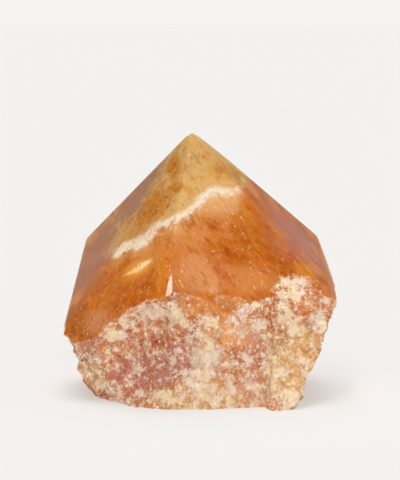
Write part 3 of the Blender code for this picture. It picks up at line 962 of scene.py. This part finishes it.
class HONEY_ONYX_OT_grains(Operator):
    """Strew small calcite rhombs over the broken sides"""

    bl_idname = "honey_onyx.grains"
    bl_label = "Loose grains"
    bl_options = {"REGISTER", "UNDO"}

    def execute(self, context):
        settings = context.scene.honey_onyx_grains
        values = {
            "Density": settings.density,
            "Smallest": settings.smallest,
            "Largest": settings.largest,
            "Seed": settings.seed,
        }
        source = bpy.data.objects["stone_body"].data.copy()
        grains = grown("stone_grains", source, grain_tree(grain_calcite()), values)
        if not grains.data.polygons:
            raise RuntimeError("no grains were strewn")
        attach(grains, "root")
        return {"FINISHED"}


def far_light(name, azimuth, lift, strength, softness, colour):
    """A soft light so far off that it falls evenly on the whole floor. It comes from this azimuth and height."""
    data = bpy.data.lights.new(name, "SUN")
    data.energy = strength
    data.angle = math.radians(softness)
    data.color = linear(colour)[:3]
    light = bpy.data.objects.new(name, data)
    light.rotation_euler = direction(azimuth, lift).to_track_quat("Z", "Y").to_euler()
    bpy.context.scene.collection.objects.link(light)
    return light


def studio_room(settings):
    """The room round the stone: a pale backdrop behind and low down, dimmer above the camera."""
    world = bpy.data.worlds.new("studio_room")
    world.use_nodes = True
    tree = world.node_tree
    way = add(tree, "ShaderNodeTexCoord").outputs["Generated"]
    xyz = add(tree, "ShaderNodeSeparateXYZ", {}, {0: way}).outputs
    wall = ramp(tree, xyz[2], 0.02, 0.2)
    high = ramp(tree, xyz[2], 0.28, 0.5)
    front = ramp(tree, xyz[1], 0.6, 0.1, 0.5, 1.0)
    room = mix(tree, wall, (*settings.backdrop, 1.0), (*settings.room, 1.0))
    room = mix(tree, math_node(tree, "MULTIPLY", high, front), room, (*settings.ceiling, 1.0))
    background = tree.nodes["Background"]
    tree.links.new(room, background.inputs["Color"])
    background.inputs["Strength"].default_value = 1.0
    return world


def paper_floor(settings):
    """A pale floor out to the horizon, half of it lit from below, so that shadows on it stay faint."""
    mesh = bpy.data.meshes.new("paper_floor")
    far = settings.floor_reach
    corners = [(-far, -far, 0.0), (far, -far, 0.0), (far, far, 0.0), (-far, far, 0.0)]
    mesh.from_pydata(corners, [], [(0, 1, 2, 3)])
    floor = bpy.data.objects.new("paper_floor", mesh)
    bpy.context.scene.collection.objects.link(floor)
    material, tree, shader = principled("matt_white_paper")
    fibre = add(tree, "ShaderNodeTexCoord").outputs["Object"]
    fibre = add(tree, "ShaderNodeTexNoise", {}, {"Vector": fibre, "Scale": 900.0, "Detail": 2.0}).outputs["Fac"]
    tree.links.new(ramp(tree, fibre, 0.0, 1.0, 0.85, 0.95), shader.inputs["Roughness"])
    shader.inputs["Base Color"].default_value = (*(0.5 * part for part in settings.floor), 1.0)
    shader.inputs["Emission Color"].default_value = (*settings.backdrop, 1.0)
    shader.inputs["Emission Strength"].default_value = 0.5
    shader.inputs["Specular IOR Level"].default_value = 0.0
    mesh.materials.append(material)
    return floor


class HONEY_ONYX_OT_stage(Operator):
    """Set the camera, the soft light and the paper floor"""

    bl_idname = "honey_onyx.stage"
    bl_label = "Stage"
    bl_options = {"REGISTER", "UNDO"}

    def execute(self, context):
        scene = context.scene
        settings = scene.honey_onyx_stage
        scene.view_settings.view_transform = "Standard"
        paper_floor(settings)
        scene.world = studio_room(settings)
        far_light("key", -25.4, 57.0, settings.key_strength, 10.0, "#fffaf2")
        far_light("fill_left", -30.0, 22.0, settings.fill_strength, 50.0, "#ffffff")
        far_light("fill_right", 30.0, 22.0, settings.fill_strength, 50.0, "#ffffff")
        far_light("low_right", 110.0, 20.0, settings.low_strength, 60.0, "#ffffff")
        far_light("top", 0.0, 90.0, settings.top_strength, 34.0, "#ffffff")
        far_light("back", 180.0, 60.0, settings.back_strength, 50.0, "#ffffff")

        data = bpy.data.cameras.new("front_camera")
        data.sensor_fit = "VERTICAL"
        data.sensor_height = 24.0
        data.lens = 24.0 * settings.camera_distance / settings.frame_height
        data.clip_start = 0.01
        camera = bpy.data.objects.new("front_camera", data)
        target = Vector((-0.439, -1.866, 51.006)) * MM
        rise = settings.camera_elevation
        camera.location = target + settings.camera_distance * Vector((0.0, -math.cos(rise), math.sin(rise)))
        camera.rotation_euler = (math.pi / 2 - rise, 0.0, 0.0)
        scene.collection.objects.link(camera)
        scene.camera = camera
        return {"FINISHED"}


class HONEY_ONYX_PT_panel(Panel):
    """The stone's pieces in the sidebar"""

    bl_idname = "HONEY_ONYX_PT_panel"
    bl_label = "Honey Onyx"
    bl_space_type = "VIEW_3D"
    bl_region_type = "UI"
    bl_category = "Honey Onyx"

    def draw(self, context):
        for operator in (HONEY_ONYX_OT_body, HONEY_ONYX_OT_grains, HONEY_ONYX_OT_stage):
            self.layout.operator(operator.bl_idname)
        for name in SETTINGS:
            group = getattr(context.scene, name)
            box = self.layout.box()
            for key in group.__annotations__:
                box.prop(group, key)


SETTINGS = {
    "honey_onyx_break": BreakSettings,
    "honey_onyx_grains": GrainSettings,
    "honey_onyx_colours": ColourSettings,
    "honey_onyx_stage": StageSettings,
}
CLASSES = (*SETTINGS.values(), HONEY_ONYX_OT_body, HONEY_ONYX_OT_grains, HONEY_ONYX_OT_stage, HONEY_ONYX_PT_panel)


def register():
    for cls in CLASSES:
        bpy.utils.register_class(cls)
    for name, cls in SETTINGS.items():
        setattr(bpy.types.Scene, name, PointerProperty(type=cls))


def unregister():
    for name in SETTINGS:
        delattr(bpy.types.Scene, name)
    for cls in reversed(CLASSES):
        bpy.utils.unregister_class(cls)


def main():
    register()
    bpy.ops.honey_onyx.stage()
    bpy.ops.honey_onyx.body()
    bpy.ops.honey_onyx.grains()


if __name__ == "__main__":
    main()
